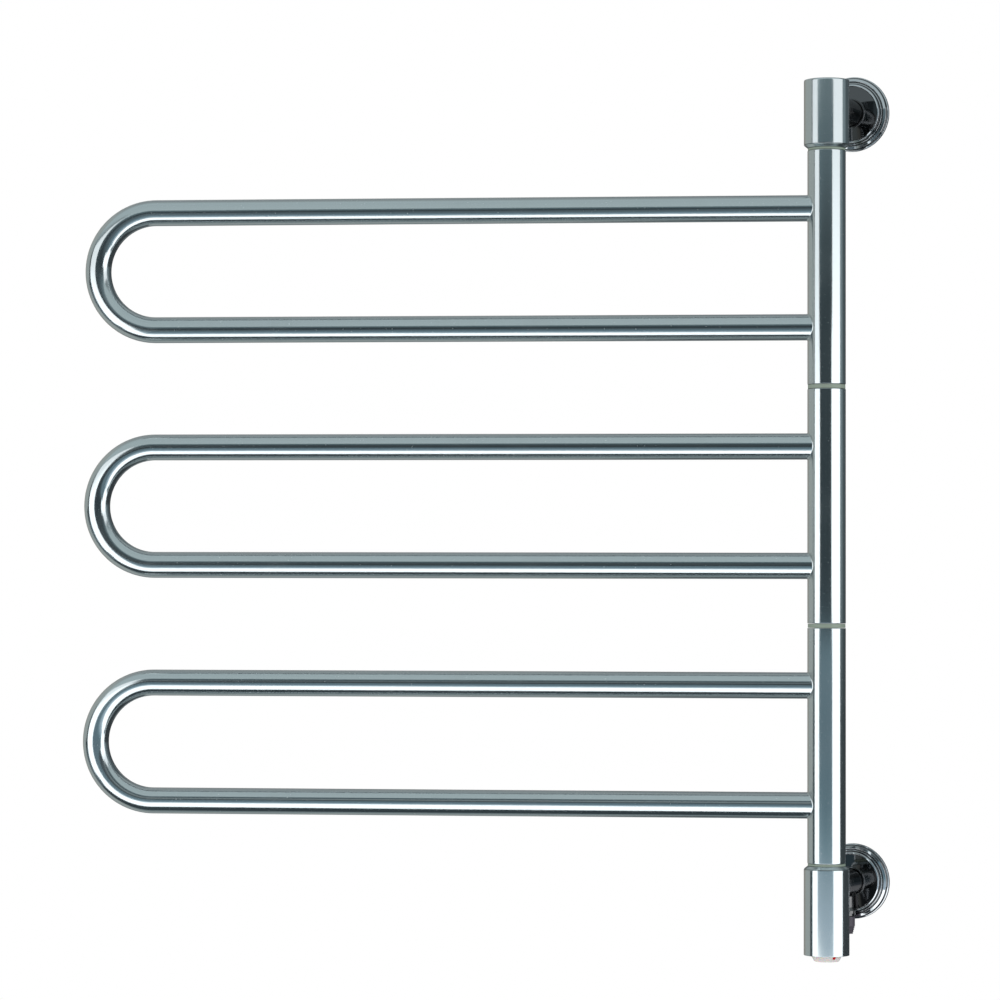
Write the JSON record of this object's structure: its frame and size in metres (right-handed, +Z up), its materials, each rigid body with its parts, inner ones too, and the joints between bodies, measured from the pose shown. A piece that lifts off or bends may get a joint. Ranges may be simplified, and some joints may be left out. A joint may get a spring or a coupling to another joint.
{
  "type": "swivel arm towel warmer",
  "caption": "Wall-mounted electric towel warmer: hairpin bars of steel tube swivel one above another on a vertical post held off the wall by round brackets, with a rocker switch under the post.",
  "frame": {"origin": "centre of the upper wall plate's back face, on the wall plane", "axes": "+Y into the wall, +Z up along the post, +X to the right when facing the wall"},
  "size_m": [0.6336, 0.2732, 0.7496],
  "materials": {
    "satin_steel": "satin polished stainless tube",
    "mirror_chrome": "mirror plated",
    "swivel_nylon": "natural nylon, pale sage",
    "zinc_steel": "zinc plated, dull",
    "element_sheath": "dull sheath metal",
    "clear_silicone": "clear silicone",
    "rocker_red": "translucent red",
    "black_plastic": "moulded, fine texture",
    "gland_nylon": "dark moulded nylon",
    "terminal_white": "moulded",
    "terminal_brass": "bright",
    "lead_brown": "insulated lead",
    "lead_blue": "insulated lead"
  },
  "bodies": {
    "wall_post": {"cord_gland": "gland_nylon", "gland_ferrule": "mirror_chrome", "live_lead": "lead_brown", "lower_bracket_arm": "mirror_chrome", "lower_bracket_grub_screw": "zinc_steel", "lower_end_collar": "satin_steel", "lower_housing": "satin_steel", "lower_rosette": "mirror_chrome", "lower_spindle_nut": "zinc_steel", "lower_stop_collar": "zinc_steel", "lower_wall_plate": "zinc_steel", "middle_stop_collar": "zinc_steel", "neutral_lead": "lead_blue", "rocker_pin": "zinc_steel", "spindle_tube": "zinc_steel", "switch_bezel": "black_plastic", "switch_body": "black_plastic", "switch_boot": "clear_silicone", "switch_tab_1": "terminal_brass", "switch_tab_2": "terminal_brass", "switch_tab_3": "terminal_brass", "swivel_ring_1": "swivel_nylon", "swivel_ring_2": "swivel_nylon", "swivel_ring_3": "swivel_nylon", "swivel_ring_4": "swivel_nylon", "terminal_block": "terminal_white", "terminal_screw_1": "terminal_brass", "terminal_screw_2": "terminal_brass", "terminal_screw_3": "terminal_brass", "upper_bracket_arm": "mirror_chrome", "upper_bracket_grub_screw": "zinc_steel", "upper_end_collar": "satin_steel", "upper_housing": "satin_steel", "upper_rosette": "mirror_chrome", "upper_spindle_nut": "zinc_steel", "upper_stop_collar": "zinc_steel", "upper_wall_plate": "zinc_steel"},
    "upper_arm": {"upper_sleeve": "satin_steel", "upper_hairpin": "satin_steel", "upper_sleeve_top_bush": "swivel_nylon", "upper_sleeve_bottom_bush": "swivel_nylon", "upper_heating_element": "element_sheath", "upper_stop_screw": "zinc_steel"},
    "middle_arm": {"middle_sleeve": "satin_steel", "middle_hairpin": "satin_steel", "middle_sleeve_top_bush": "swivel_nylon", "middle_sleeve_bottom_bush": "swivel_nylon", "middle_heating_element": "element_sheath", "middle_stop_screw": "zinc_steel"},
    "lower_arm": {"lower_sleeve": "satin_steel", "lower_hairpin": "satin_steel", "lower_sleeve_top_bush": "swivel_nylon", "lower_sleeve_bottom_bush": "swivel_nylon", "lower_heating_element": "element_sheath", "lower_stop_screw": "zinc_steel"},
    "rocker": {"switch_rocker": "rocker_red"}
  },
  "joints": [
    {"name": "upper_arm_swivel", "type": "hinge", "parent": "wall_post", "child": "upper_arm", "pos_m": [0, -0.076, -0.138], "axis": [0, 0, 1], "range_deg": [-17.5, 162.5]},
    {"name": "middle_arm_swivel", "type": "hinge", "parent": "wall_post", "child": "middle_arm", "pos_m": [0, -0.076, -0.338], "axis": [0, 0, 1], "range_deg": [-17.5, 162.5]},
    {"name": "lower_arm_swivel", "type": "hinge", "parent": "wall_post", "child": "lower_arm", "pos_m": [0, -0.076, -0.538], "axis": [0, 0, 1], "range_deg": [-17.5, 162.5]},
    {"name": "rocker_tilt", "type": "hinge", "parent": "wall_post", "child": "rocker", "pos_m": [0, -0.076, -0.7113], "axis": [0, 1, 0], "range_deg": [-16, 0]}
  ]
}
